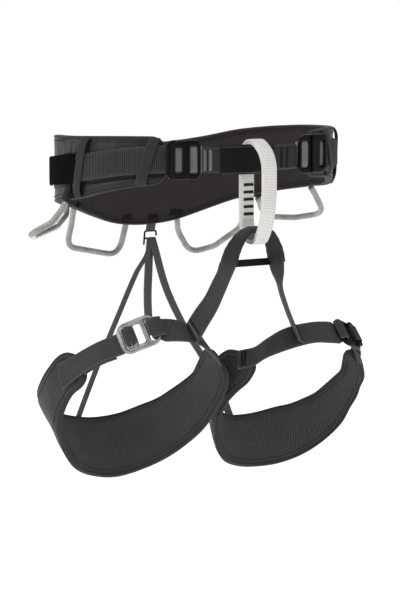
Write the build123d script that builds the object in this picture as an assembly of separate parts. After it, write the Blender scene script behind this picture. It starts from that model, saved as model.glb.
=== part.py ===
from build123d import *

import os
from math import cos, radians, sin

# Climbing harness, in millimetres. +Z is up, the wearer faces -Y and +X is the wearer's left.
# The origin is the centre of the waist belt, at the height of the tie-in webbing.

# ---- driving dimensions -------------------------------------------------------------------
BELT_A, BELT_B = 137.0, 107.0  # half-axes of the belt's inner face, across and front to back
LINING_T, FOAM_T, SHELL_T = 1.2, 5.0, 1.2
BELT_T = LINING_T + FOAM_T + SHELL_T  # whole thickness of the belt
BINDING_W = 1.8  # height of the edge tape past the layers
WING_RIGHT, WING_LEFT = -35.0, 33.0  # where the padded wings end, degrees from the front
WEB_W, WEB_T = 27.0, 2.0  # waist webbing
TIE_IN_DEGREES = (-31.5, 32.0)  # the webbing between the two waist buckles
SLEEVE_DEGREES = (-14.0, 8.5)
BACK_START, BACK_END = 42.0, 318.0  # the webbing round the back, degrees from the front
TAIL_LEFT_END, TAIL_RIGHT_START = 96.0, 236.0  # where its two folded-back tails stop

LOOP_W, LOOP_T = 16.0, 5.0  # belay loop webbing
LOOP_FRONT, LOOP_REAR = -147.0, -100.0
LOOP_TOP, LOOP_LOW = 25.0, -76.0

STRAP_T = 2.6  # leg webbing
PAD_T = 7.6  # leg padding, whole thickness
PAD_SKIN, PAD_GAP = 0.8, 1.4  # its facing fabrics, and the depth at which its foam starts
TAPE_GAP = 0.5  # between the layers' edge and the tape round it
GEAR_R = 2.75  # gear loop tube
WIRE_R = 0.9  # riser hook wire

# Side outline of the belt: height of the top and bottom edges from front to back.
BELT_TOP = [(-118, 27), (-80, 27.5), (-13, 25), (40, 22), (64, 19.5), (84, 15.5), (98, 9.5), (118, 0)]
BELT_LOW = [(-118, -17), (-82, -18), (-50, -25.6), (-31, -31.5), (15, -38.5), (64, -48.5), (84, -55.5),
            (101, -68.5), (109, -77.5), (118, -86)]
# Height of the middle of the waist webbing from front to back.
WEB_MID = [(-122, 8), (-95, 7.2), (-72, 4.6), (-38, -2.2), (-8, -6.6), (58, -15), (122, -27)]

# Leg padding: centre of the band and half-width vector, from the outer end round the back.
PAD_RIGHT = [
    (-154, -55, -186, 3, -8, -8), (-167, -40, -206, 5, -12, -12), (-171, -22, -229, 5, -13, -14),
    (-159, -2, -255, 2, -14, -17), (-130, 17, -280, -2, -17, -22), (-100, 27, -289, -5, -19, -25),
    (-72, 28, -290, -6, -20, -26), (-48, 19, -282, -6, -20, -26), (-28, 2, -268, -4, -19, -24),
    (-14, -22, -245, 0, -16, -20), (-10, -46, -219, 4, -13, -14), (-18, -69, -189, 5, -9, -8),
]
PAD_LEFT = [
    (158, -42, -203, 5, -7, -6), (170, -25, -229, 8, -9, -8), (168, -7, -251, 8, -12, -12),
    (156, 11, -274, 7, -14, -17), (131, 24, -292, 4, -16, -22), (103, 29, -300, 1, -16, -24),
    (76, 27, -301, -2, -16, -24), (48, 19, -294, -4, -15, -22), (26, 4, -278, -3, -14, -19),
    (13, -16, -249, 2, -12, -16), (11, -40, -220, 6, -11, -12), (19, -62, -196, 8, -9, -8),
]
# Leg webbing: centre and half-width vector, from the outer end to the inner end.
STRAP_RIGHT = [
    (-176, -54, -199, 2, -8, -9), (-163, -66, -187, 2, -8, -9), (-148, -79, -175, 1, -8, -9),
    (-130, -91, -166, 1, -7, -10), (-115, -99, -158, 1, -7, -10), (-99, -106, -154, 1, -7, -10),
    (-83, -110, -154, 1, -7, -10), (-66, -110, -158, 1, -8, -9), (-50, -104, -167, 2, -8, -9),
    (-36, -94, -178, 3, -9, -8), (-24, -81, -190, 4, -9, -8),
]
STRAP_LEFT = [
    (160, -50, -203, 0, -6, -9), (150, -62, -191, 2, -8, -9), (130, -76, -181, 1, -8, -9),
    (116, -84, -176, 1, -7, -10), (95, -93, -172, 1, -7, -10), (76, -100, -170, 0, -8, -9),
    (58, -103, -171, 0, -8, -9), (42, -101, -175, -2, -8, -9), (29, -92, -183, -4, -8, -8),
    (20, -79, -193, -5, -8, -8),
]
# Webbing from the bridge down to each leg strap.
BRIDGE_RIGHT = [(-35, -122, -101, 1, -11, -3), (-41, -120, -115, 1, -11, -4), (-48, -118, -130, 1, -10, -6),
                (-57, -114, -144, 2, -9, -7)]
BRIDGE_LEFT = [(22, -122, -99, -3, -11, 0), (26, -120, -114, -3, -11, -1), (34, -116, -133, -2, -10, -4),
               (47, -109, -154, 0, -9, -7)]
BRIDGE_SLEEVE = [(-30, -122, -91, 3, -11, 0), (-23, -122, -74, 2, -11, 0), (-13, -122, -63.3, 0, -10.5, 0),
                 (0, -122, -61, 0, -10.5, 0), (12, -122, -63.3, 0, -10.5, 0), (18, -122, -74, 0, -11, 0),
                 (21, -122, -91, -1, -11, 0)]

# Riser straps: centre and half-width vector.
RISER_RIGHT = [(9, 118, -99.5, 3, 0, 0), (-10, 106, -128, 3, 0, 0), (-42, 84, -166, 3, 0, 0),
               (-76, 63, -211, 3, 0, 0), (-110, 43, -257, 3, 0, 0)]
RISER_LEFT = [(18, 118, -99.5, 3.5, 0, 0), (24, 107, -146, 3.5, 0, 0), (37, 92, -186, 3.5, 0, 0),
              (54, 72, -226, 3.5, 0, 0), (68, 50, -268, 3.5, 0, 0)]
RISER_TAIL = [(13, 121, -99.5, 4, 0, 0), (9, 117, -130, 4, 0, 0), (5, 111, -160, 4, 0, 0),
              (4, 104, -196, 4, 0, 0)]
HOOK_X, HOOK_Y = 13.0, 120.0
HOOK_TOP, HOOK_LOW = -88.4, -96.0  # the wire bars that carry the hanger and the straps

# Gear loops: angle and height of the two sockets, and the corners of the bent tube between them.
SOCKET_R, SOCKET_H, SOCKET_GAP = 4.3, 12.0, 3.2
GEAR_ROUTES = {
    "gear_loop_front_right": ((-84, -38), [(-153, -14, -44), (-166, -18, -56), (-189, -18, -66),
                                           (-172, 12, -73), (-122, 62, -70), (-100, 86, -62)], (-139, -52)),
    "gear_loop_rear_right": ((-145, -56), [(-89, 106, -76), (-90, 110, -94), (-34, 125, -109),
                                           (-12, 126, -94)], (-174, -78)),
    "gear_loop_rear_left": ((164, -68), [(48, 124, -90), (62, 124, -113), (86, 114, -106),
                                         (112, 100, -86)], (136, -57)),
    "gear_loop_front_left": ((100, -40), [(156, 25, -50), (172, 34, -70), (156, 66, -77),
                                          (133, 90, -77)], (129, -55)),
}


# ---- the belt's shape ---------------------------------------------------------------------
def belt_place(angle, grow):
    """Point on the belt's oval at an angle from the front, grown outwards."""
    t = radians(angle)
    return (BELT_A + grow) * sin(t), -(BELT_B + grow) * cos(t)


def oval_ring(inner, outer, low=-140.0, high=60.0):
    """Upright oval wall between two growths of the belt's inner face."""
    ring = Ellipse(BELT_A + outer, BELT_B + outer) - Ellipse(BELT_A + inner, BELT_B + inner)
    return Pos(0, 0, low) * extrude(ring, high - low)


def wedge(start, end):
    """Upright prism that covers the belt from one angle to another."""
    steps = max(2, int((end - start) / 40) + 1)
    far = [belt_place(start + (end - start) * i / steps, 120) for i in range(steps + 1)]
    face = make_face(Polyline((0, 0), *far, close=True))
    return Pos(0, 0, -160) * extrude(face, 260)


def side_prism(top, low):
    """Prism along X between an upper and a lower line given as (y, z) points."""
    upper, lower = Spline(*top), Spline(*low)
    ends = [Line(upper @ 0, lower @ 0), Line(upper @ 1, lower @ 1)]
    face = make_face([upper, lower, *ends])
    return extrude(Plane.YZ * face, 250, both=True)


def shifted(line, dz):
    return [(y, z + dz) for y, z in line]


def belt_layer(inner, outer, inset, wings=(WING_RIGHT, WING_LEFT)):
    """One layer of the belt, its edges drawn in by an inset."""
    outline = side_prism(shifted(BELT_TOP, -inset), shifted(BELT_LOW, inset))
    start, end = wings[1] + inset * 0.3, 360 + wings[0] - inset * 0.3
    return oval_ring(inner, outer) & wedge(start, end) & outline


def belt_binding(high_edge):
    """Edge tape along the top or the bottom of the belt."""
    edge = BELT_TOP if high_edge else BELT_LOW
    span = (-BINDING_W, 0) if high_edge else (0, BINDING_W)
    outline = side_prism(shifted(edge, span[1]), shifted(edge, span[0]))
    return oval_ring(-0.3, BELT_T + 0.3) & wedge(WING_LEFT, 360 + WING_RIGHT) & outline


def belt_band(inner, outer, start, end, width, mid=WEB_MID):
    """Webbing round the outside of the belt."""
    outline = side_prism(shifted(mid, width / 2), shifted(mid, -width / 2))
    return oval_ring(inner, outer) & wedge(start, end) & outline


# ---- straps and pads ----------------------------------------------------------------------
def stations(rows):
    """Centre, half-width vector and outward normal at each station of a band."""
    centres = [Vector(*r[:3]) for r in rows]
    found = []
    for i, row in enumerate(rows):
        before, after = centres[max(i - 1, 0)], centres[min(i + 1, len(rows) - 1)]
        half = Vector(*row[3:])
        normal = (after - before).cross(half).normalized()
        found.append((centres[i], half, normal))
    return found


def band(rows, t0, t1, grow=0.0, ruled=True, flip=1):
    """Solid band through stations, from one thickness offset to another, widened by grow."""
    sections = []
    for centre, half, normal in stations(rows):
        wide = half + half.normalized() * grow
        out0, out1 = normal * (t0 * flip), normal * (t1 * flip)
        corners = [centre - wide + out0, centre + wide + out0, centre + wide + out1, centre - wide + out1]
        sections.append(Face(Wire.make_polygon(corners)))
    return loft(sections, ruled=ruled)


def edge_tape(rows, side, t, width=1.6):
    """Tape along one edge of a band."""
    sections = []
    for centre, half, normal in stations(rows):
        along = half.normalized() * side
        near, far = centre + half * side + along * TAPE_GAP, centre + half * side + along * (TAPE_GAP + width)
        out = normal * t
        sections.append(Face(Wire.make_polygon([near - out, far - out, far + out, near + out])))
    return loft(sections, ruled=True)


def frame_at(point, out, across):
    """Plane at a point with its Z outwards and its X across."""
    return Plane(origin=point, x_dir=across, z_dir=out)


def buckle_plate(place, wide, tall, thick, windows, corner=5.0):
    """Flat buckle with rounded corners and rectangular windows, on a plane."""
    face = RectangleRounded(wide, tall, corner)
    for x, w, h in windows:
        face -= Pos(x, 0) * Rectangle(w, h)
    plate = extrude(face, thick)
    outer = plate.faces().sort_by(Axis.Z)[-1].outer_wire().edges()
    return place * fillet(outer, min(1.2, thick * 0.4))


def tube(route, radius, bend):
    """Round tube along straight runs joined by tangent arcs."""
    path = FilletPolyline(*route, radius=bend)
    section = Plane(origin=path @ 0, z_dir=path % 0) * Circle(radius)
    return sweep(section, path)


# ---- writing ------------------------------------------------------------------------------
os.makedirs("parts", exist_ok=True)


def save(name, shape):
    solids = shape.solids() if hasattr(shape, "solids") else shape
    export_step(solids[0] if len(solids) == 1 else Compound(children=list(solids)), f"parts/{name}.step")
    return shape


# ---- waist belt ---------------------------------------------------------------------------
foam_in, foam_out = LINING_T, LINING_T + FOAM_T
save("belt_inner_lining", belt_layer(0, foam_in, BINDING_W))
save("belt_foam", belt_layer(foam_in, foam_out, BINDING_W + 0.4))
save("belt_outer_shell", belt_layer(foam_out, BELT_T, BINDING_W))
save("belt_binding_top", belt_binding(True))
save("belt_binding_bottom", belt_binding(False))

web_in = BELT_T + 0.4
web_out = web_in + WEB_T
save("waist_webbing", belt_band(web_in, web_out, BACK_START, BACK_END, WEB_W))
tail_in, tail_out = web_out + 0.2, web_out + 0.2 + WEB_T
save("waist_tail_right", belt_band(tail_in, tail_out, TAIL_RIGHT_START, BACK_END, WEB_W - 1))
save("waist_tail_left", belt_band(tail_in, tail_out, BACK_START, TAIL_LEFT_END, WEB_W - 1))


def keeper(top_angle, low_angle, width):
    """Slanted strap over the webbing, stepping down to the belt above and below it."""
    (x0, y0), (x1, y1) = belt_place(top_angle, 10), belt_place(low_angle, 10)
    centre = Vector((x0 + x1) / 2, (y0 + y1) / 2, 0)
    out = Vector(centre.X / BELT_A**2, centre.Y / BELT_B**2, 0).normalized()
    lean = Vector(x0 - x1, y0 - y1, 48)
    plane = Plane(origin=centre, x_dir=lean.cross(out), z_dir=out)
    strip = plane * extrude(Rectangle(width, 160), 40, both=True)
    cover = belt_band(tail_out + 0.2, tail_out + 1.4, top_angle - 15, top_angle + 15, WEB_W + 4)
    legs = oval_ring(BELT_T, tail_out + 1.4) & wedge(top_angle - 15, top_angle + 15)
    legs &= side_prism(shifted(WEB_MID, 19), shifted(WEB_MID, -19))
    legs -= side_prism(shifted(WEB_MID, WEB_W / 2 + 0.5), shifted(WEB_MID, -WEB_W / 2 - 0.5))
    return strip & (cover + legs)


KEEPERS = [(-71.8, -77.2, 10), (-39.3, -45.3, 11), (41.5, 46.5, 11), (71.8, 77.2, 10)]
for number, (top_angle, low_angle, width) in enumerate(KEEPERS, 1):
    save(f"webbing_keeper_{number}", keeper(360 + top_angle, 360 + low_angle, width)
         if top_angle < 0 else keeper(top_angle, low_angle, width))

# ---- tie-in point -------------------------------------------------------------------------
TIE_MID = [(-124, 5.0), (-110, 5.6), (-86, 6.0), (-40, 6.0)]
tie_in, tie_out = BELT_T + 0.6, BELT_T + 3.4


def tie_band(inner, outer, start, end, width):
    return belt_band(inner, outer, 360 + start, 360 + end, width, TIE_MID)


save("front_tie_in_webbing", tie_band(tie_in, tie_out, *TIE_IN_DEGREES, WEB_W - 3))
sleeve = tie_band(tie_in - 1.6, tie_out + 1.6, *SLEEVE_DEGREES, WEB_W + 0.6)
sleeve -= tie_band(tie_in - 0.1, tie_out + 0.1, SLEEVE_DEGREES[0] - 5, SLEEVE_DEGREES[1] + 5, WEB_W - 2.6)
save("tie_in_sleeve", sleeve)
TACKS = [(-20.7, -19.3), (-18.5, -17.1), (11.5, 12.9), (14.3, 15.7)]
tacks = [tie_band(tie_out, tie_out + 0.7, a, b, WEB_W - 7) for a, b in TACKS]
save("tie_in_bar_tacks", Compound(children=[s for t in tacks for s in t.solids()]))

# ---- waist buckles ------------------------------------------------------------------------
# Angle round the belt, side, width, and how far the plate is turned towards the front.
BUCKLES = {"right": (-28.2, -1, 32.0, 0.0), "left": (28.0, 1, 38.0, 8.0)}
BUCKLE_Z, BUCKLE_TALL, BUCKLE_T = 7.0, 37.0, 3.4
SLIDER_OUT, SLIDER_SHIFT = 3.8, 3.0  # the slider's place on the plate, outwards and towards the hip
for side, (angle, sign, wide, turn) in BUCKLES.items():
    x, y = belt_place(angle, tail_out + 2.0)
    out = Vector(x / BELT_A**2, y / BELT_B**2, 0).normalized().rotate(Axis.Z, -sign * turn)
    across = Vector(0, 0, 1).cross(out) * sign
    centre = Vector(x, y, BUCKLE_Z)
    scale = wide / 32.0
    windows = [(-7.5 * scale, 6.5 * scale, 26), (4.5 * scale, 7.5 * scale, 26)]
    save(f"waist_buckle_frame_{side}",
         buckle_plate(frame_at(centre, out, across), wide, BUCKLE_TALL, BUCKLE_T, windows))
    slider = frame_at(centre + out * SLIDER_OUT + across * SLIDER_SHIFT, out, across)
    save(f"waist_buckle_slider_{side}", buckle_plate(slider, 17, 36, 2.6, [(0, 6.5, 25)], 3.5))

# ---- belay loop ---------------------------------------------------------------------------
loop_mid = Vector(0, (LOOP_FRONT + LOOP_REAR) / 2, (LOOP_TOP + LOOP_LOW) / 2)
loop_plane = Plane(origin=loop_mid, x_dir=(0, 1, 0), z_dir=(1, 0, 0))
depth, height = LOOP_REAR - LOOP_FRONT, LOOP_TOP - LOOP_LOW
loop_face = RectangleRounded(depth, height, 16)
loop_face -= RectangleRounded(depth - 2 * LOOP_T, height - 2 * LOOP_T, 11)
save("belay_loop", loop_plane * extrude(loop_face, LOOP_W / 2, both=True))
strand = LOOP_REAR - LOOP_T
loop_tacks = [Pos(0, strand - 0.4, -20 - 7 * i) * Box(12, 0.8, 1.8) for i in range(5)]
save("belay_loop_bar_tacks", Compound(children=loop_tacks))

save("leg_bridge_sleeve", band(BRIDGE_SLEEVE, -2.4, 2.4))
save("leg_cross_strap", Pos(-1.5, -115, -94.6) * Box(46, 1.6, 6.4))

# ---- gear loops ---------------------------------------------------------------------------
sockets = []
for name, (first, corners, last) in GEAR_ROUTES.items():
    ends = [(*belt_place(angle, BELT_T + SOCKET_R + 0.8), z) for angle, z in (first, last)]
    save(name, tube([ends[0], *corners, ends[1]], GEAR_R, 5.0))
    sockets += [Pos(x, y, z + SOCKET_GAP + SOCKET_H / 2) * Cylinder(SOCKET_R, SOCKET_H) for x, y, z in ends]
save("gear_loop_sockets", Compound(children=sockets))

# ---- rear risers --------------------------------------------------------------------------
save("riser_hanger", Pos(HOOK_X, HOOK_Y - 2.6, -81) * Box(11, 1.6, 12))
hook = tube([(HOOK_X - 6.5, HOOK_Y, HOOK_TOP), (HOOK_X + 6.5, HOOK_Y, HOOK_TOP),
             (HOOK_X + 6.5, HOOK_Y, HOOK_TOP - 4)], WIRE_R, 1.6)
hook += tube([(HOOK_X + 6, HOOK_Y, HOOK_LOW), (HOOK_X - 6.5, HOOK_Y, HOOK_LOW),
              (HOOK_X - 6.5, HOOK_Y, HOOK_TOP), (HOOK_X, HOOK_Y, HOOK_TOP)], WIRE_R, 1.6)
save("riser_hook", hook)
save("riser_strap_right", band(RISER_RIGHT, -0.8, 0.8))
save("riser_strap_left", band(RISER_LEFT, -0.8, 0.8))
save("riser_tail", band(RISER_TAIL, -1.2, 1.2))

# ---- leg loops ----------------------------------------------------------------------------
LEGS = {"right": (PAD_RIGHT, STRAP_RIGHT, BRIDGE_RIGHT, 1), "left": (PAD_LEFT, STRAP_LEFT, BRIDGE_LEFT, -1)}
for side, (pad, strap, bridge, flip) in LEGS.items():
    half_t = PAD_T / 2
    save(f"leg_pad_lining_{side}", band(pad, -half_t, PAD_SKIN - half_t, flip=flip))
    save(f"leg_pad_foam_{side}", band(pad, PAD_GAP - half_t, half_t - PAD_GAP, -1.0, flip=flip))
    save(f"leg_pad_shell_{side}", band(pad, half_t - PAD_SKIN, half_t, flip=flip))
    save(f"leg_pad_binding_{side}", Compound(children=[edge_tape(pad, s, half_t) for s in (-1, 1)]))
    save(f"leg_strap_{side}", band(strap, -STRAP_T / 2, STRAP_T / 2))
    save(f"bridge_webbing_{side}", band(bridge, -1.6, 1.6))

    buckle_station = 4 if side == "right" else 2
    centre, half, normal = stations(strap)[buckle_station]
    ahead = Vector(*strap[buckle_station + 1][:3]) - centre
    out = normal if normal.Y < 0 else -normal
    place = frame_at(centre + out * 2.0, out, ahead)
    save(f"leg_buckle_frame_{side}", buckle_plate(place, 40, 31, 3.4, [(-9, 9, 20), (8, 12, 20)], 7))
    bar = frame_at(centre + out * 5.9 + ahead.normalized() * -9, out, ahead)
    save(f"leg_buckle_slider_{side}", buckle_plate(bar, 12, 27, 2.4, [(0, 4.5, 19)], 3))
    tail = strap[1:4] if side == "right" else strap[:2]
    save(f"leg_strap_tail_{side}", band(tail, STRAP_T / 2 + 0.3, STRAP_T / 2 + 1.9, flip=-flip))
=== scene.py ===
import math

import bmesh
import bpy
import numpy as np
from mathutils import Matrix, Vector


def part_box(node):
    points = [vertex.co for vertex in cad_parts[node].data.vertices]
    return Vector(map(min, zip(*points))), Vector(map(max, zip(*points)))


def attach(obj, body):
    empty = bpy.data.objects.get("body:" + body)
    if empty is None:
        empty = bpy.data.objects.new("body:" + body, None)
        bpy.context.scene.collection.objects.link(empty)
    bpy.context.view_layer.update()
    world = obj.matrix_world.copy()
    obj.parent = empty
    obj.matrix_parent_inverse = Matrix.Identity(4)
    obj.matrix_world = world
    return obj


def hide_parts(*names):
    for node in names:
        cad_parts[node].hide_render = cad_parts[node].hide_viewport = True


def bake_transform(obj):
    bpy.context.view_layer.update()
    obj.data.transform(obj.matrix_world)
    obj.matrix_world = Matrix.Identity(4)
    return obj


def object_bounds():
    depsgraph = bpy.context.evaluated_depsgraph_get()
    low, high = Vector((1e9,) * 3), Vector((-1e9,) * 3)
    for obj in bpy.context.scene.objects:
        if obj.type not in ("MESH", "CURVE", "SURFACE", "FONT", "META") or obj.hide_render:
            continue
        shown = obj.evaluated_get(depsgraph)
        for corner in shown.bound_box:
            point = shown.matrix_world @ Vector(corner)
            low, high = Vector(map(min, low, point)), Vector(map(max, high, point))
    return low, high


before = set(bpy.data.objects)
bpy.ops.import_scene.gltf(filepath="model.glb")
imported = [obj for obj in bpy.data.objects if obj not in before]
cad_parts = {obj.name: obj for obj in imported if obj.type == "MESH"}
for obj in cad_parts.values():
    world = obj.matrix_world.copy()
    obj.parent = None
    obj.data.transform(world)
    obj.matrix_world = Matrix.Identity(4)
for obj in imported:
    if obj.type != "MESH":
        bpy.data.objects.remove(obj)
CAD_BOX = [list(corner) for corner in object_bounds()]
MM = 0.001

# All shapes below are in millimetres in the frame of the CAD and are scaled as their meshes are made.
# +Z is up, the wearer faces -Y and +X is the wearer's left. Angles go round the belt from the front.

# ---- camera and light -----------------------------------------------------------------------------
AZIMUTH, ELEVATION, DISTANCE = math.radians(-29), math.radians(8.3), 2.5
TO_CAMERA = Vector((math.sin(AZIMUTH) * math.cos(ELEVATION), -math.cos(AZIMUTH) * math.cos(ELEVATION),
                    math.sin(ELEVATION)))
RIGHTWARD = Vector((math.cos(AZIMUTH), math.sin(AZIMUTH), 0))
AIM = Vector((0, 0, -0.145)) + RIGHTWARD * 0.005

camera = bpy.data.objects.new("camera", bpy.data.cameras.new("camera"))
camera.data.lens, camera.data.sensor_width = 150, 36
camera.location = AIM + TO_CAMERA * DISTANCE
camera.rotation_mode = "QUATERNION"
camera.rotation_quaternion = (-TO_CAMERA).to_track_quat("-Z", "Y")
bpy.context.scene.collection.objects.link(camera)
bpy.context.scene.camera = camera
bpy.context.scene.view_settings.view_transform = "Standard"


def lamp(name, place, size, power):
    """Soft rectangular studio light."""
    data = bpy.data.lights.new(name, "AREA")
    data.shape, data.size, data.size_y, data.energy = "RECTANGLE", size[0], size[1], power
    light = bpy.data.objects.new(name, data)
    light.location = place
    light.rotation_mode = "QUATERNION"
    light.rotation_quaternion = (AIM - Vector(place)).to_track_quat("-Z", "Y")
    bpy.context.scene.collection.objects.link(light)


lamp("overhead", (-0.2, -0.3, 1.7), (1.8, 1.6), 16.5)
lamp("left_side", (-1.7, -0.3, 0.35), (0.9, 1.6), 7.0)
lamp("left_rim", (-1.5, 1.1, 0.25), (0.35, 1.4), 7.0)
lamp("right_side", (1.3, -1.5, 0.3), (0.8, 1.4), 3.6)
lamp("front_fill", (-1.3, -2.0, 0.9), (1.4, 1.2), 6.5)
lamp("behind", (0.5, 1.7, 0.5), (1.6, 1.2), 6.0)

AMBIENT = 0.3
world = bpy.data.worlds.new("studio")
world.use_nodes = True
backdrop = world.node_tree.nodes["Background"]
backdrop.inputs[0].default_value = (1, 1, 1, 1)
rays = world.node_tree.nodes.new("ShaderNodeLightPath")
level = world.node_tree.nodes.new("ShaderNodeMapRange")  # the backdrop is white, its light on the object soft
level.inputs["To Min"].default_value, level.inputs["To Max"].default_value = AMBIENT, 1.0
world.node_tree.links.new(rays.outputs["Is Camera Ray"], level.inputs["Value"])
world.node_tree.links.new(level.outputs[0], backdrop.inputs[1])
bpy.context.scene.world = world


# ---- materials ------------------------------------------------------------------------------------
def linear(r, g, b):
    """Screen colour, 0 to 255, as linear light."""
    return tuple(((c / 255 + 0.055) / 1.055) ** 2.4 if c > 10 else c / 3294.6 for c in (r, g, b)) + (1.0,)


def calc(tree, op, *values, clamp=False):
    node = tree.nodes.new("ShaderNodeMath")
    node.operation, node.use_clamp = op, clamp
    for i, v in enumerate(values):
        if isinstance(v, (int, float)):
            node.inputs[i].default_value = v
        else:
            tree.links.new(v, node.inputs[i])
    return node.outputs[0]


def mul(tree, a, b):
    return calc(tree, "MULTIPLY", a, b)


def add(tree, a, b):
    return calc(tree, "ADD", a, b)


def sub(tree, a, b):
    return calc(tree, "SUBTRACT", a, b)


def noise(tree, coords, scale, detail):
    node = tree.nodes.new("ShaderNodeTexNoise")
    node.inputs["Scale"].default_value, node.inputs["Detail"].default_value = scale, detail
    tree.links.new(coords, node.inputs["Vector"])
    return node.outputs["Fac"]


def blend_colour(tree, amount, low, high):
    node = tree.nodes.new("ShaderNodeMix")
    node.data_type = "RGBA"
    for socket, value in zip((node.inputs[0], node.inputs[6], node.inputs[7]), (amount, low, high)):
        if isinstance(value, (int, float, tuple)):
            socket.default_value = value
        else:
            tree.links.new(value, socket)
    return node.outputs[2]


def span(tree, value, low, high, to_low=0.0, to_high=1.0):
    """Value remapped smoothly from one range to another."""
    node = tree.nodes.new("ShaderNodeMapRange")
    node.interpolation_type = "SMOOTHSTEP"
    for i, v in enumerate((low, high, to_low, to_high), 1):
        node.inputs[i].default_value = v
    tree.links.new(value, node.inputs[0])
    return node.outputs[0]


def weave_axes(tree):
    """Across and along a strap or panel, in millimetres, and the UV vector they come from."""
    uv = tree.nodes.new("ShaderNodeUVMap")
    uv.uv_map = "weave"
    split = tree.nodes.new("ShaderNodeSeparateXYZ")
    tree.links.new(uv.outputs[0], split.inputs[0])
    across, along = mul(tree, split.outputs[0], 1 / MM), mul(tree, split.outputs[1], 1 / MM)
    return across, along, uv.outputs[0]


def wave(tree, value, period):
    """0 to 1 cosine of the given period."""
    turns = mul(tree, value, 2 * math.pi / period)
    return calc(tree, "MULTIPLY_ADD", calc(tree, "COSINE", turns), 0.5, 0.5)


def pattern(tree, kind, period, u, v):
    """Height from 0 to 1 of a weave."""
    if kind == "rib":  # ridges across the strap, split by fine warp threads
        return mul(tree, wave(tree, v, period), span(tree, wave(tree, u, 0.9), 0, 1, 0.6, 1))
    if kind == "twill":
        slant = calc(tree, "MULTIPLY_ADD", u, 1.15, v)
        return mul(tree, wave(tree, slant, period),
                    span(tree, wave(tree, sub(tree, v, u), period * 1.3), 0, 1, 0.55, 1))
    if kind == "holes":  # staggered round holes
        half_x = mul(tree, u, 0.5)
        tall_y = mul(tree, v, 0.8660254)
        waves = [wave(tree, x, period) for x in (u, add(tree, half_x, tall_y),
                                                sub(tree, half_x, tall_y))]
        total = add(tree, add(tree, waves[0], waves[1]), waves[2])
        return span(tree, total, 1.7, 2.5, 1, 0)
    if kind == "ripstop":
        lines = calc(tree, "MAXIMUM", span(tree, wave(tree, u, period), 0.82, 0.98),
                     span(tree, wave(tree, v, period), 0.82, 0.98))
        fine = mul(tree, wave(tree, u, 0.7), wave(tree, v, 0.7))
        return calc(tree, "MULTIPLY_ADD", fine, 0.3, mul(tree, lines, 0.7))
    if kind == "grid":  # plain weave
        return calc(tree, "MULTIPLY_ADD", mul(tree, wave(tree, u, period), wave(tree, v, period)), 0.7,
                    mul(tree, wave(tree, v, period * 0.5), 0.3))
    raise ValueError(kind)


def base(name, rough, metallic=0.0, sheen=0.0, coat=0.0, specular=0.5):
    mat = bpy.data.materials.new(name)
    mat.use_nodes = True
    shader = mat.node_tree.nodes["Principled BSDF"]
    shader.inputs["Roughness"].default_value = rough
    shader.inputs["Metallic"].default_value = metallic
    shader.inputs["Sheen Weight"].default_value = sheen
    shader.inputs["Sheen Roughness"].default_value = 0.45
    shader.inputs["Coat Weight"].default_value = coat
    shader.inputs["Coat Roughness"].default_value = 0.25
    shader.inputs["Specular IOR Level"].default_value = specular
    return mat, mat.node_tree, shader


def relief(tree, shader, height, distance, strength=1.0):
    node = tree.nodes.new("ShaderNodeBump")
    node.inputs["Strength"].default_value = strength
    node.inputs["Distance"].default_value = distance
    tree.links.new(height, node.inputs["Height"])
    tree.links.new(node.outputs[0], shader.inputs["Normal"])


def fabric(name, colour, kind, period, rough=0.8, depth=0.25, contrast=0.4, sheen=0.05, specular=0.14,
           wear=0.2, mask=None):
    """Woven cloth: thread relief, uneven dye, paler rubbed edges, and painted shade in the weave's valleys
    and holes with a painted highlight on its thread tops.
    """
    mat, tree, shader = base(name, rough, sheen=sheen, specular=specular)
    u, v, uv = weave_axes(tree)
    threads = pattern(tree, kind, period, u, v)
    if mask:  # the pattern fades out towards the long edges of the panel
        across = tree.nodes.new("ShaderNodeUVMap")
        across.uv_map = "span"
        split = tree.nodes.new("ShaderNodeSeparateXYZ")
        tree.links.new(across.outputs[0], split.inputs[0])
        off = calc(tree, "ABSOLUTE", sub(tree, split.outputs[0], 0.5))
        inside = span(tree, off, mask[0], mask[1], 1, 0)
        threads = add(tree, mul(tree, threads, inside),
                       mul(tree, sub(tree, 1.0, inside), 0.75))
    blotch = noise(tree, uv, 38, 4)
    fleck = noise(tree, uv, 900, 2)
    # The weave's height also sets the colour: painted shade in its valleys and holes, painted highlight on
    # its tops, mixed with the uneven dye.
    dye_and_weave_shade = calc(tree, "MULTIPLY_ADD", sub(tree, blotch, 0.5), 0.5,
               calc(tree, "MULTIPLY_ADD", sub(tree, fleck, 0.5), 0.4, threads), clamp=True)
    dark = linear(*(c * (1 - contrast) for c in colour))
    light = linear(*(min(255, c * (1 + contrast * 0.35)) for c in colour))
    shade = blend_colour(tree, dye_and_weave_shade, dark, light)
    geometry = tree.nodes.new("ShaderNodeNewGeometry")
    rubbed = mul(tree, span(tree, geometry.outputs["Pointiness"], 0.53, 0.62), wear)
    shade = blend_colour(tree, rubbed, shade, linear(*(min(255, c * 1.7 + 12) for c in colour)))
    tree.links.new(shade, shader.inputs["Base Color"])
    gloss = calc(tree, "MULTIPLY_ADD", sub(tree, noise(tree, uv, 160, 3), 0.5), 0.22, rough, clamp=True)
    tree.links.new(gloss, shader.inputs["Roughness"])
    height = calc(tree, "MULTIPLY_ADD", fleck, 0.25, threads)
    relief(tree, shader, height, depth * MM)
    return mat


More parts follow.
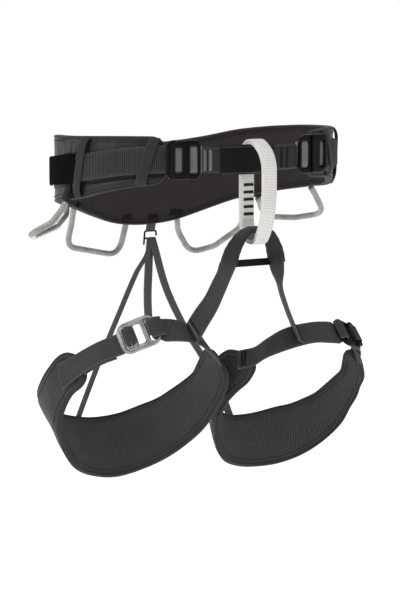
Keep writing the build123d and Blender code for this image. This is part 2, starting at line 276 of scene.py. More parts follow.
def hard(name, colour, rough, metallic=0.0, coat=0.0, worn=(150, 150, 150), wear=0.3, grain=0.08,
         specular=0.5):
    """Metal or moulded plastic: fine grain, uneven gloss, scuffs on the raised edges."""
    mat, tree, shader = base(name, rough, metallic=metallic, coat=coat, specular=specular)
    coords = tree.nodes.new("ShaderNodeTexCoord").outputs["Object"]
    cloud = noise(tree, coords, 70, 4)
    scuff = noise(tree, coords, 420, 5)
    geometry = tree.nodes.new("ShaderNodeNewGeometry")
    edge = mul(tree, span(tree, geometry.outputs["Pointiness"], 0.52, 0.6), span(tree, scuff, 0.42, 0.6))
    shade = blend_colour(tree, span(tree, cloud, 0.3, 0.7), linear(*(c * 0.86 for c in colour)),
                         linear(*(min(255, c * 1.12) for c in colour)))
    shade = blend_colour(tree, mul(tree, edge, wear), shade, linear(*worn))
    tree.links.new(shade, shader.inputs["Base Color"])
    gloss = calc(tree, "MULTIPLY_ADD", sub(tree, scuff, 0.5), 0.08, rough, clamp=True)
    tree.links.new(gloss, shader.inputs["Roughness"])
    relief(tree, shader, noise(tree, coords, 1500, 2), grain * MM, 0.5)
    return mat


FINISH = {
    "lining_fabric": fabric("lining", (49, 44, 45), "holes", 1.7, rough=0.9, contrast=0.5),
    "shell_fabric": fabric("shell", (58, 58, 58), "ripstop", 3.4, rough=0.5, depth=0.12, contrast=0.35,
                           specular=0.25),
    "mesh_lining": fabric("spacer_mesh", (60, 57, 57), "holes", 2.5, rough=0.85, depth=0.4, contrast=0.55,
                          mask=(0.36, 0.40)),
    "binding_tape": fabric("binding", (50, 49, 49), "rib", 0.9, rough=0.6, depth=0.12, contrast=0.3,
                           sheen=0.06),
    "black_webbing": fabric("webbing", (76, 74, 75), "twill", 2.0, rough=0.7, depth=0.3, contrast=0.55),
    # This elastic is paler than the keepers' copy of the same tape: painted light on the risers at the back,
    # which the lamps barely reach.
    "elastic_webbing": fabric("elastic", (94, 93, 94), "rib", 1.1, rough=0.7, depth=0.15, contrast=0.3,
                              sheen=0.06),
    "abrasion_sleeve": fabric("sleeve", (15, 14, 15), "grid", 0.8, rough=0.5, depth=0.08, contrast=0.3,
                              sheen=0.02),
    "white_webbing": fabric("white_webbing", (243, 240, 235), "rib", 1.5, rough=0.7, contrast=0.16,
                            wear=0.0, sheen=0.03),
    "black_thread": fabric("black_thread", (26, 26, 26), "twill", 0.5, rough=0.5, depth=0.05, sheen=0.02),
    "grey_thread": fabric("grey_thread", (122, 120, 120), "twill", 0.5, rough=0.5, depth=0.05, sheen=0.02),
    "black_buckle_metal": hard("black_metal", (7, 7, 8), 0.3, worn=(60, 60, 60), wear=0.04, grain=0.004,
                               specular=0.12),
    "light_buckle_metal": hard("light_metal", (146, 146, 148), 0.32, metallic=0.92, worn=(220, 220, 220),
                               wear=0.05, grain=0.004),
    "gear_loop_plastic": hard("gear_plastic", (150, 147, 141), 0.22, coat=0.7, worn=(190, 187, 180), wear=0.0,
                              grain=0.004),
    "socket_rubber": fabric("tab_tape", (40, 39, 39), "rib", 1.0, rough=0.6, depth=0.15, contrast=0.35,
                            sheen=0.04),
}
RIBBED = fabric("ribbed_webbing", (62, 60, 61), "rib", 1.8, rough=0.6, depth=0.2, contrast=0.6)
# Paler copy of the webbing for the folds round the waist buckle bars: painted highlight.
WEB_PAINTED_HIGHLIGHT = fabric("webbing_painted_highlight", (126, 124, 124), "rib", 1.2, rough=0.6, depth=0.1, contrast=0.3)
SMOOTH_WEB = fabric("smooth_webbing", (55, 53, 54), "grid", 1.0, rough=0.55, depth=0.12, contrast=0.3)
GLOSS_SHELL = fabric("gloss_shell", (33, 33, 33), "grid", 0.9, rough=0.4, depth=0.012, contrast=0.06,
                     specular=0.32, sheen=0.0, wear=0.0)
# Near-black cloth for the covers over the webbing at the hips: painted shade.
HIP_SHADE_FINISH = fabric("hip_painted_shade", (17, 17, 17), "grid", 0.9, rough=0.95, depth=0.05, contrast=0.2,
                   specular=0.02, sheen=0.0, wear=0.0)
# The keepers' elastic in its plain colour; the elastic in FINISH is a paler copy with painted light for the
# risers.
KEEPER_TAPE = fabric("keeper_tape", (58, 57, 57), "rib", 1.1, rough=0.7, depth=0.15, contrast=0.3,
                     specular=0.08)


# ---- mesh making ----------------------------------------------------------------------------------
def distances(points):
    """Length along a path up to each of its points."""
    return np.r_[0, np.cumsum(np.linalg.norm(np.diff(points, axis=0), axis=1))]


def smooth(rows, step, closed=False):
    """Smooth curve through rows of numbers, evenly spaced along their first three."""
    p = np.array(rows, float)
    if closed:
        p = np.vstack([p[-1:], p, p[:2]])
    gaps = np.maximum(np.linalg.norm(np.diff(p[:, :3], axis=0), axis=1), 1e-6)
    slope = np.diff(p, axis=0) / gaps[:, None]
    m = np.empty_like(p)
    m[1:-1] = (slope[:-1] * gaps[1:, None] + slope[1:] * gaps[:-1, None]) / (gaps[1:] + gaps[:-1])[:, None]
    if len(p) == 2:
        m[:] = slope[0]
    m[0], m[-1] = 1.5 * slope[0] - 0.5 * m[1], 1.5 * slope[-1] - 0.5 * m[-2]
    t = np.linspace(0, 1, 24, endpoint=False)[:, None]
    first, last = (1, len(p) - 2) if closed else (0, len(p) - 1)
    parts = []
    for i in range(first, last):
        parts.append((2 * t**3 - 3 * t**2 + 1) * p[i] + (t**3 - 2 * t**2 + t) * gaps[i] * m[i]
                     + (3 * t**2 - 2 * t**3) * p[i + 1] + (t**3 - t**2) * gaps[i] * m[i + 1])
    dense = np.vstack([*parts, p[last:last + 1]])
    along = distances(dense[:, :3])
    s = np.linspace(0, along[-1], max(4, round(along[-1] / step)) + 1)
    out = np.column_stack([np.interp(s, along, dense[:, k]) for k in range(p.shape[1])])
    return (out[:-1], s[:-1], along[-1]) if closed else (out, s, along[-1])


def unit(a):
    return a / np.maximum(np.linalg.norm(a, axis=-1, keepdims=True), 1e-9)


def frames(rows, closed=False):
    """Centre, half-width vector, tangent and normal at each row."""
    c, h = rows[:, :3], rows[:, 3:6]
    t = unit(np.roll(c, -1, 0) - np.roll(c, 1, 0)) if closed else unit(np.gradient(c, axis=0))
    return c, h, t, unit(np.cross(t, h))


def frontward(normal):
    """The direction or its opposite, whichever points to the wearer's front."""
    return normal if normal[1] < 0 else -normal


def round_off(h, s, total, reach):
    """Half-widths that shrink over a reach to make both ends round."""
    near = np.clip(np.minimum(s, total - s) / reach, 0, 1)
    return h * np.sqrt(np.maximum(1 - (1 - near) ** 2, 0.05))[:, None]


def finish_object(obj, slot, material=None):
    obj.data.materials.append(material or FINISH[slot])
    bpy.context.scene.collection.objects.link(obj)
    return obj


def skin(name, grid, slot, weave, across, closed=False, material=None):
    """Closed mesh over a stack of rings; weave and across give its two UV maps."""
    rows, cols = grid.shape[:2]
    mesh = bpy.data.meshes.new(name)
    i, j = np.meshgrid(np.arange(rows if closed else rows - 1), np.arange(cols), indexing="ij")
    i, j = i.ravel(), j.ravel()
    corners = np.stack([np.stack([i, j]), np.stack([i, j + 1]), np.stack([i + 1, j + 1]),
                        np.stack([i + 1, j])], 2)
    index = (corners[0] % rows) * cols + corners[1] % cols
    faces = index.tolist()
    uv = [np.stack([m[0][corners[0] % rows, corners[1] % cols], m[1][corners[0]]], -1).reshape(-1, 2)
          for m in (weave, across)]
    if not closed:
        for ring, row in ((list(range(cols))[::-1], 0),
                          (list(range((rows - 1) * cols, rows * cols)), rows - 1)):
            faces.append(ring)
            for k, m in enumerate((weave, across)):
                order = [r % cols for r in ring]
                uv[k] = np.vstack([uv[k], np.stack([m[0][row, order], np.full(cols, m[1][row])], -1)])
    mesh.from_pydata((grid.reshape(-1, 3) * MM).tolist(), [], faces)
    for label, values in zip(("weave", "span"), uv):
        layer = mesh.uv_layers.new(name=label)
        layer.data.foreach_set("uv", values.astype(np.float32).ravel())
    mesh.polygons.foreach_set("use_smooth", np.ones(len(mesh.polygons), bool))
    tidy_normals(mesh)
    return finish_object(bpy.data.objects.new(name, mesh), slot, material)


def edit_mesh(mesh, change):
    bm = bmesh.new()
    bm.from_mesh(mesh)
    change(bm)
    bm.to_mesh(mesh)
    bm.free()


def tidy_normals(mesh):
    edit_mesh(mesh, lambda bm: bmesh.ops.recalc_face_normals(bm, faces=bm.faces))


def section(columns, square):
    """Half of a ring's places across and its height above and below, from 1 to -1."""
    half = np.sin(np.linspace(-1, 1, columns) * math.pi / 2) * 0.65 + np.linspace(-1, 1, columns) * 0.35
    height = np.maximum(1 - np.abs(half) ** square, 0) ** (1 / square)
    return np.r_[half, half[-2:0:-1]], np.r_[height, -height[-2:0:-1]]


def ribbon(name, rows, thick, slot, step=2.0, columns=9, square=5.0, closed=False, flip=1, lift=0.0,
           shape=None, round_ends=0.0, material=None, ready=False):
    """Flat strap or pad through stations of centre and half-width vector. shape gives extra height along the
    outward normal, from distance along, place across (-1 to 1), and which face (1 outward, -1 inward)."""
    if ready:
        pts = np.array(rows, float)
        s = distances(pts[:, :3])
        total = s[-1] + (np.linalg.norm(pts[0, :3] - pts[-1, :3]) if closed else 0)
    else:
        pts, s, total = smooth(rows, step, closed)
    c, h, _, n = frames(pts, closed)
    n = n * flip
    if round_ends:
        h = round_off(h, s, total, round_ends)
    u, w = section(columns, square)
    thick_here = np.full(len(s), thick / 2)
    if not closed:
        thick_here[[0, -1]] *= 0.55
    out = lift + thick_here[:, None] * w[None, :]
    if shape:
        out = out + shape(s[:, None], u[None, :], np.sign(w)[None, :], total)
    grid = c[:, None] + h[:, None] * u[None, :, None] + n[:, None] * out[..., None]
    reach = np.linalg.norm(h, axis=1)
    ends = np.r_[s, total]
    return skin(name, grid, slot, (u[None, :] * reach[:, None] * MM, ends * MM),
                (np.repeat(u[None, :] * 0.5 + 0.5, len(s), 0), ends / total), closed, material)


def threads(name, starts, stops, outs, slot, radius=0.35, arch=0.25):
    """Short sewn threads from start to stop, each a small spindle that stands up along its out direction."""
    a, b, o = (np.array(x, float) for x in (starts, stops, outs))
    t, o = unit(b - a), unit(o)
    side = unit(np.cross(t, o))
    profile = [(0.0, 0.35, -0.6), (0.18, 0.95, 0.5), (0.5, 1.05, 1.0), (0.82, 0.95, 0.5), (1.0, 0.35, -0.6)]
    turns = np.arange(6) * math.pi / 3
    ring = []
    for place, wide, up in profile:
        mid = a + (b - a) * place + o * (up * arch)
        for turn in turns:
            ring.append(mid + (side * math.cos(turn) + o * math.sin(turn)) * radius * wide)
    verts = np.stack(ring, 1)
    faces = []
    for k in range(len(a)):
        start = k * 30
        for r in range(4):
            for q in range(6):
                p = (q + 1) % 6
                faces.append([start + r * 6 + q, start + r * 6 + p, start + r * 6 + 6 + p,
                              start + r * 6 + 6 + q])
        faces += [[start + q for q in range(5, -1, -1)], [start + 24 + q for q in range(6)]]
    mesh = bpy.data.meshes.new(name)
    mesh.from_pydata((verts.reshape(-1, 3) * MM).tolist(), [], faces)
    uv = mesh.uv_layers.new(name="weave")
    around = np.zeros((len(mesh.loops), 2), np.float32)
    index = np.zeros(len(mesh.loops), np.int32)
    mesh.loops.foreach_get("vertex_index", index)
    around[:, 0], around[:, 1] = (index % 6) * 0.4 * MM, (index % 30) // 6 * 0.6 * MM
    uv.data.foreach_set("uv", around.ravel())
    mesh.polygons.foreach_set("use_smooth", np.ones(len(mesh.polygons), bool))
    tidy_normals(mesh)
    return finish_object(bpy.data.objects.new(name, mesh), slot)


def seam(name, path, outs, slot="black_thread", pitch=3.0, length=2.1, radius=0.33):
    """Row of running stitches along a path of points with an outward direction at each."""
    path, outs = np.array(path, float), np.array(outs, float)
    along = distances(path)
    s = np.arange(pitch * 0.3, along[-1] - length, pitch)

    def at(values, where):
        return np.column_stack([np.interp(where, along, values[:, k]) for k in range(3)])

    return threads(name, at(path, s), at(path, s + length), at(outs, s), slot, radius)


def tack(name, centre, along, across, out, length, wide, slot, count=None, radius=0.33):
    """Bar tack: a dense zigzag of thread, long in one direction and narrow in the other."""
    centre, along, across, out = (np.array(x, float) for x in (centre, along, across, out))
    along, across, out = unit(along), unit(across), unit(out)
    count = count or max(4, int(length / (radius * 1.7)))
    place = np.linspace(-length / 2, length / 2, count)
    lean = length / count * 0.8
    starts = [centre + along * (p - lean * (-1) ** k) - across * wide / 2 for k, p in enumerate(place)]
    stops = [centre + along * (p + lean * (-1) ** k) + across * wide / 2 for k, p in enumerate(place)]
    return threads(name, starts, stops, [out] * count, slot, radius, 0.3)


def rounded(wide, tall, corner, shift=(0, 0), steps=6):
    """Points round a rectangle with rounded corners."""
    points = []
    for cx, cy, start in ((1, 1, 0), (-1, 1, 90), (-1, -1, 180), (1, -1, 270)):
        for k in range(steps + 1):
            turn = math.radians(start + 90 * k / steps)
            points.append((shift[0] + cx * (wide / 2 - corner) + corner * math.cos(turn),
                           shift[1] + cy * (tall / 2 - corner) + corner * math.sin(turn)))
    return points


def plate(name, origin, across, out, outline, windows, thick, bevel, slot, bend=0.0):
    """Buckle frame with softly rounded edges, from an outline and its windows in its own plane."""
    curve = bpy.data.curves.new(name, "CURVE")
    curve.dimensions, curve.fill_mode = "2D", "BOTH"
    curve.extrude, curve.bevel_depth, curve.bevel_resolution = (thick / 2 - bevel) * MM, bevel * MM, 3
    curve.offset = -bevel * MM
    for points in (outline, *windows):
        spline = curve.splines.new("POLY")
        spline.points.add(len(points) - 1)
        spline.points.foreach_set("co", [c for x, y in points for c in (x * MM, y * MM, 0, 1)])
        spline.use_cyclic_u = True
    holder = bpy.data.objects.new(name + "_outline", curve)
    bpy.context.scene.collection.objects.link(holder)
    mesh = bpy.data.meshes.new_from_object(holder.evaluated_get(bpy.context.evaluated_depsgraph_get()))
    bpy.data.objects.remove(holder)
    mesh.materials.clear()
    edit_mesh(mesh, lambda bm: bmesh.ops.remove_doubles(bm, verts=bm.verts, dist=1e-6))
    tidy_normals(mesh)
    co = np.zeros(len(mesh.vertices) * 3)
    mesh.vertices.foreach_get("co", co)
    co = co.reshape(-1, 3) / MM
    x, z = unit(np.array(across, float)), unit(np.array(out, float))
    y = np.cross(z, x)
    lift = co[:, 2] - bend * co[:, 0] ** 2
    world = np.array(origin, float) + co[:, :1] * x + co[:, 1:2] * y + lift[:, None] * z
    mesh.vertices.foreach_set("co", (world * MM).ravel())
    mesh.polygons.foreach_set("use_smooth", np.ones(len(mesh.polygons), bool))
    mesh.update()
    obj = finish_object(bpy.data.objects.new(name, mesh), slot)
    split_edges(obj)
    return obj


def split_edges(obj, angle=35):
    """Flat faces stay flat next to the rounded edges."""
    def sharpen(bm):
        for edge in bm.edges:
            if len(edge.link_faces) == 2 and edge.calc_face_angle(0) > math.radians(angle):
                edge.smooth = False

    edit_mesh(obj.data, sharpen)


def put(obj, body, *nodes):
    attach(obj, body)
    if nodes:
        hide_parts(*nodes)
    return obj


def swell(obj, columns, reach, pressure, cap, frames=12):
    """Cloth under inside pressure, sewn down at its long edges and ends, applied to the mesh."""
    count = len(obj.data.vertices)
    before = np.empty(count * 3)
    obj.data.vertices.foreach_get("co", before)
    u, _ = section(columns, 5.0)
    rows = count // len(u)
    ends = np.clip(np.minimum(np.arange(rows), np.arange(rows)[::-1]) / 5, 0, 1)
    free = (np.clip((reach - np.abs(u)) / 0.25, 0, 1)[None, :] * ends[:, None]).ravel()
    group = obj.vertex_groups.new(name="sewn")
    for level in range(11):
        group.add(np.flatnonzero(np.rint(free * 10) == level).tolist(), 1 - level / 10, "REPLACE")
    cloth = obj.modifiers.new("swell", "CLOTH")
    settings = cloth.settings
    settings.mass, settings.use_pressure, settings.uniform_pressure_force = 0.3, True, pressure
    settings.tension_stiffness = settings.compression_stiffness = settings.shear_stiffness = 20
    settings.bending_stiffness, settings.quality = 0.6, 5
    settings.vertex_group_mass, settings.pin_stiffness = "sewn", 1.0
    settings.effector_weights.gravity = 0
    for frame_number in range(1, frames + 1):
        bpy.context.scene.frame_set(frame_number)
    done = obj.evaluated_get(bpy.context.evaluated_depsgraph_get())
    after = np.empty(count * 3)
    done.data.vertices.foreach_get("co", after)
    obj.modifiers.remove(cloth)
    obj.vertex_groups.remove(group)
    bpy.context.scene.frame_set(1)
    move = (after - before).reshape(-1, 3)
    far = np.linalg.norm(move, axis=1, keepdims=True)
    move *= np.minimum(1, cap * MM / np.maximum(far, 1e-9)) * free[:, None]
    obj.data.vertices.foreach_set("co", (before.reshape(-1, 3) + move).ravel())
    obj.data.update()
    print("swell", obj.name, round(float(far.max()) / MM, 2), "mm")


# ---- the belt's shape -----------------------------------------------------------------------------
LINING_T, FOAM_T, SHELL_T = 1.2, 5.0, 1.2
BELT_T = LINING_T + FOAM_T + SHELL_T
shell_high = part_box("belt_outer_shell")[1]
BELT_A, BELT_B = shell_high.x / MM - BELT_T, shell_high.y / MM - BELT_T
WING_LEFT, WING_RIGHT = 33.0, 325.0
WING_CORNERS = (7.0, 15.0)  # radius at the left and the right wing's end
BELT_TOP = [(-118, 27), (-80, 27.5), (-13, 25), (40, 22), (64, 19.5), (84, 15.5), (98, 9.5), (118, 0)]
BELT_LOW = [(-118, -17), (-82, -18), (-50, -25.6), (-31, -31.5), (15, -38.5), (64, -48.5), (84, -55.5),
            (101, -68.5), (109, -77.5), (118, -86)]
WEB_MID = [(-122, 8), (-95, 7.2), (-72, 4.6), (-38, -2.2), (-8, -6.6), (58, -15), (122, -27)]
TIE_MID = [(-124, 5.0), (-110, 5.6), (-86, 6.0), (-40, 6.0)]


def line_height(line, y):
    """Height of a side line of the belt at a place from front to back."""
    curve, _, _ = smooth([(a, b, 0) for a, b in line], 1.0)
    return np.interp(y, curve[:, 0], curve[:, 1])


def oval(angle, grow):
    t = np.radians(angle)
    return (BELT_A + grow) * np.sin(t), -(BELT_B + grow) * np.cos(t)


def oval_out(angle):
    """Outward direction of the oval."""
    t = np.radians(angle)
    return unit(np.stack([np.sin(t) / BELT_A, -np.cos(t) / BELT_B, np.zeros_like(t)], -1))


def out_at(angle):
    return oval_out(np.array([angle]))[0]


def along_at(angle):
    """Direction round the belt at an angle."""
    t = math.radians(angle)
    return unit(np.array([math.cos(t) * BELT_A, math.sin(t) * BELT_B, 0.0]))


def round_belt(angles):
    """Distance round the middle of the belt up to each angle."""
    x, y = oval(angles, 4)
    return np.r_[0, np.cumsum(np.hypot(np.diff(x), np.diff(y)))]


def even_angles(start, stop, step):
    """Angles whose places round the belt are evenly spaced."""
    fine = np.linspace(start, stop, 2000)
    along = round_belt(fine)
    return np.interp(np.linspace(0, along[-1], round(along[-1] / step) + 1), along, fine)


def belt_rows(start, stop, grow, width, mid=WEB_MID, step=3.0):
    """Stations of a strap round the belt, ready for ribbon."""
    angles = even_angles(start, stop, step)
    x, y = oval(angles, grow if np.isscalar(grow) else np.interp(angles, *grow))
    z = line_height(mid, y)
    half = np.full_like(x, width / 2)
    return np.column_stack([x, y, z, 0 * x, 0 * x, half])


def belt_edges(angles, inset=0.0):
    """Top and bottom of the belt at each angle, with its wing ends rounded."""
    _, y = oval(angles, 4)
    top, low = line_height(BELT_TOP, y) - inset, line_height(BELT_LOW, y) + inset
    fine = np.linspace(WING_LEFT, WING_RIGHT, 3000)
    along = round_belt(fine)
    s = np.interp(angles, fine, along)
    near = np.minimum(s, along[-1] - s)
    corner = np.where(s < along[-1] / 2, *WING_CORNERS)
    cut = np.where(near < corner, corner - np.sqrt(np.maximum(corner**2 - (corner - near) ** 2, 0)), 0)
    return top - cut, low + cut


# Angles round the belt of the lining's grooves, and of the hips with how strongly their shell folds.
GROOVES = (143, 149.5, 211, 217, 96, 264)
HIPS = ((278, 1.0), (82, 0.35))
# Each fold at a hip: its place from the hip and its width in degrees, and its height.
HIP_FOLDS = ((-6.5, 1.3, 1.9), (-3.2, 0.9, 2.2), (-0.4, 0.9, 1.8), (2.6, 1.1, 1.7), (6.0, 1.3, 1.4),
             (10.0, 1.6, 0.9))


def bump_at(x, centre, wide):
    return np.exp(-((x - centre) / wide) ** 2)


def belt_panel(name, slot, inner, outer, inset, faces, material=None, rows=27):
    """Layer of the belt between two growths, rounded at its edges, with relief on its two faces."""
    angles = even_angles(WING_LEFT + 0.3, WING_RIGHT - 0.3, 2.2)
    top, low = belt_edges(angles, inset)
    u, w = section(rows, 7.0)
    z = (top + low)[:, None] / 2 + (top - low)[:, None] / 2 * u[None, :]
    grow = (inner + outer) / 2 + w[None, :] * (outer - inner) / 2
    grow = grow + faces(angles[:, None], u[None, :], w[None, :], z)
    t = np.radians(angles)[:, None]
    grid = np.stack([(BELT_A + grow) * np.sin(t), -(BELT_B + grow) * np.cos(t), z], -1)
    s = round_belt(angles)
    return skin(name, grid, slot, (z * MM, np.r_[s, s[-1]] * MM),
                (np.repeat(u[None, :] * 0.5 + 0.5, len(s), 0), np.r_[s, s[-1]] / s[-1]), material=material)


def lining_relief(angle, u, w, z):
    """Soft crown, sewn seams and small creases on the inside of the belt."""
    crown = -1.0 * (1 - np.abs(u) ** 4)
    seams = sum(bump_at(angle, a, 0.45) for a in GROOVES)
    creases = 0.35 * np.sin(angle * 0.9 + z * 0.11) * np.sin(z * 0.21 + angle * 0.23)
    puckers = 1.0 * np.sin((angle - 106) * 2.4 + z * 0.05) * bump_at(angle, 115, 8) + \
        1.0 * np.sin((angle - 250) * 2.4 - z * 0.05) * bump_at(angle, 245, 8)
    inside = np.where(w < 0, 1.0, 0.0) * (1 - np.abs(u) ** 6)
    return inside * (crown + 1.1 * seams + creases + puckers)


def shell_relief(angle, u, w, z):
    """Folds over the hips, and a shallow channel under the webbing."""
    folds = np.zeros_like(angle * z)
    for centre, share in HIPS:
        for k, (shift, wide, deep) in enumerate(HIP_FOLDS):
            wander = 0.9 * np.sin(z * 0.11 + k * 1.7)
            folds = folds + share * deep * bump_at(angle, centre + shift + wander, wide)
    ripple = 0.3 * np.sin(angle * 0.7 + 2.0 * np.sin(z * 0.07)) + 0.2 * np.sin(z * 0.3 + angle * 0.31)
    outside = np.where(w > 0, 1.0, 0.0) * (1 - np.abs(u) ** 6)
    mid = line_height(WEB_MID, oval(angle, 8)[1])
    channel = -0.3 * bump_at(z, mid, 11)
    return outside * (folds * np.where(np.abs(z - mid) < 15, 0.15, 1.0) + ripple * 0.5 + channel)


lining = belt_panel("belt_lining", "lining_fabric", 0.2, LINING_T + FOAM_T - 0.2, 1.4, lining_relief)
swell(lining, 27, 0.93, 4.0, 1.6)
put(lining, "root", "belt_inner_lining", "belt_foam")
shell = belt_panel("belt_shell", "shell_fabric", LINING_T + FOAM_T - 0.1, BELT_T - 0.1, 1.6, shell_relief,
                   material=GLOSS_SHELL)
put(shell, "root", "belt_outer_shell")


def belt_outline(inset, step=3.0):
    """Centre points round the whole edge of the belt, and directions that point away from the panel."""
    angles = even_angles(WING_LEFT + 0.2, WING_RIGHT - 0.2, step)
    top, low = belt_edges(angles, inset)
    x, y = oval(angles, BELT_T / 2)
    upper, lower = np.stack([x, y, top], -1), np.stack([x, y, low], -1)
    ring = np.vstack([upper, lower[::-1]])
    outs = np.vstack([oval_out(angles), oval_out(angles)[::-1]])
    return ring, outs


ring, outs = belt_outline(0.9)
piping = ribbon("belt_piping", np.hstack([ring, outs * (BELT_T / 2 + 0.4)]), 3.4, "binding_tape", step=3.0,
                columns=9, square=2.4, closed=True)
put(piping, "root", "belt_binding_top", "belt_binding_bottom")
STITCH_INSET = 4.6
for label, grow, spot in (("outer", BELT_T + 0.15, 1), ("inner", -0.05, -1)):
    angles = even_angles(WING_LEFT + 3, WING_RIGHT - 3, 3.0)
    top, low = belt_edges(angles, STITCH_INSET)
    x, y = oval(angles, grow)
    for edge, z in (("top", top), ("low", low)):
        put(seam(f"belt_stitching_{label}_{edge}", np.stack([x, y, z], -1), oval_out(angles) * spot), "root")

LINING_SEAMS = (143.4, 149.1, 211.0, 216.7)
for number, angle in enumerate(LINING_SEAMS, 1):
    x, y = oval(angle, 0.5)
    top, low = belt_edges(np.array([angle]), 5.0)
    line = [(x, y, z) for z in np.linspace(low[0], top[0], 12)]
    put(seam(f"lining_seam_{number}", line, [-out_at(angle)] * 12, pitch=2.6, length=1.9), "root")

# ---- waist webbing --------------------------------------------------------------------------------
WEB_W, WEB_T = 27.0, 2.0
RIB_STEP = 0.35  # spacing of the stations that carry the webbing's ribs
TAILS = (("right", 236.0, 325.0), ("left", 35.0, 96.0))
# Stretches round the belt, in degrees, of the hip covers of painted shade.
HIP_SHADE_SPANS = (("right", 238.0, 283.0), ("left", 77.0, 122.0))
web_at = BELT_T + 0.4 + WEB_T / 2
tail_at = web_at + WEB_T + 0.2


def ribs(period, deep):
    """Ridges across a strap."""
    def shape(s, u, face, total):
        return face * deep * np.cos(2 * np.pi * s / period) * (np.abs(u) < 0.97)
    return shape


webbing = ribbon("waist_webbing_band", belt_rows(35, 325, web_at, WEB_W, step=RIB_STEP), WEB_T,
                 "black_webbing", columns=7, square=7, material=RIBBED, ready=True, shape=ribs(1.8, 0.13))
put(webbing, "root", "waist_webbing")
for side, start, stop in TAILS:
    tail = ribbon(f"waist_webbing_tail_{side}", belt_rows(start, stop, tail_at, WEB_W - 1, step=RIB_STEP),
                  WEB_T - 0.2, "black_webbing", columns=7, square=7, material=RIBBED, ready=True,
                  shape=ribs(1.8, 0.14))
    put(tail, "root", f"waist_tail_{side}")

# A near-black strip just below the waist webbing: painted shadow under the webbing's lower edge.
SHADOW_STRIP_MID = [(y, z - 3.4) for y, z in WEB_MID]
put(ribbon("waist_webbing_shadow_strip", belt_rows(36, 324, BELT_T + 0.35, WEB_W + 1, SHADOW_STRIP_MID), 0.9,
           "abrasion_sleeve", columns=7, ready=True), "root")
# Near-black covers over the webbing at the hips: painted shade where the webbing turns round the hips.
for side, start, stop in HIP_SHADE_SPANS:
    put(ribbon(f"waist_hip_painted_shade_{side}", belt_rows(start, stop, tail_at + 0.9, WEB_W + 1.2, step=2.0), 1.2,
               "abrasion_sleeve", columns=9, square=7, ready=True, material=HIP_SHADE_FINISH), "root")
KEEPERS = [(288.2, 282.8, 10), (320.7, 314.7, 11), (41.5, 46.5, 11), (71.8, 77.2, 10)]
for number, (top_angle, low_angle, width) in enumerate(KEEPERS, 1):
    rows = []
    for k in np.linspace(1, -1, 25):
        angle = (top_angle + low_angle) / 2 + (top_angle - low_angle) / 2 * k
        grow = BELT_T + 0.8 + (tail_at + 1.0 - BELT_T) * (1 - abs(k) ** 6)
        x, y = oval(angle, grow)
        top, low = line_height(BELT_TOP, y) - 0.6, line_height(BELT_LOW, y) + 0.6
        z = (top + low) / 2 + (top - low) / 2 * k
        tangent = np.array([math.cos(math.radians(angle)), math.sin(math.radians(angle)), 0.0])
        rows.append([x, y, z, *(unit(tangent) * width / 2)])
    strap = ribbon(f"webbing_keeper_band_{number}", rows, 1.4, "elastic_webbing", step=1.2, columns=7,
                   square=6, material=KEEPER_TAPE)
    put(strap, "root", f"webbing_keeper_{number}")

# ---- tie-in point ---------------------------------------------------------------------------------
tie_at = BELT_T + 2.0
TIE_W = WEB_W - 3
tie = ribbon("tie_in_band", belt_rows(-31.5, 32,
                                      ([-31.5, -24, 24, 32], [tie_at + 2.5, tie_at, tie_at, tie_at + 2.5]),
        TIE_W, TIE_MID, 1.0), 2.8, "black_webbing", columns=9, square=7, material=SMOOTH_WEB,
             ready=True)
put(tie, "root", "front_tie_in_webbing")


def sleeve_shape(s, u, face, total):
    """Thin stitched flanges at top and bottom, fuller between them, with a few creases."""
    flat = np.where(np.abs(u) > 0.8, -0.55 * 2.2, 0.0)
    creases = 0.25 * np.sin(s * 0.9 + 2.5 * u) * bump_at(s, 4, 7)
    creases = creases + 0.2 * np.sin(s * 0.5 + u * 4) * bump_at(s, 36, 10)
    return face * (flat * np.clip((np.abs(u) - 0.78) / 0.1, 0, 1) + creases)


SLEEVE = (-14.0, 8.5)
sleeve = ribbon("tie_in_cover", belt_rows(*SLEEVE, tie_at, 28.6, TIE_MID, 1.0), 6.0, "abrasion_sleeve",
                columns=21, square=6, ready=True, shape=sleeve_shape)
put(sleeve, "root", "tie_in_sleeve")
angles = np.linspace(SLEEVE[0] + 0.4, SLEEVE[1] - 0.4, 40)
for label, dz in (("top", 12.4), ("low", -12.4)):
    x, y = oval(angles, tie_at + 1.95)
    z = line_height(TIE_MID, y) + dz
    put(seam(f"tie_in_cover_stitches_{label}", np.stack([x, y, z], -1), oval_out(angles),
             "grey_thread", pitch=2.6, length=1.5, radius=0.22), "root")
TIE_TACKS = ((-20.0, "grey_thread"), (-17.8, "grey_thread"), (12.2, "black_thread"), (15.0, "black_thread"))
for number, (angle, slot) in enumerate(TIE_TACKS, 1):
    x, y = oval(angle, tie_at + 1.5)
    out = out_at(angle)
    bar = tack(f"tie_in_bar_tack_{number}", (x, y, line_height(TIE_MID, y)), (0, 0, 1),
               np.cross((0, 0, 1), out), out, 19, 3.6, slot, count=34)
    put(bar, "root", *(["tie_in_bar_tacks"] if number == 1 else []))

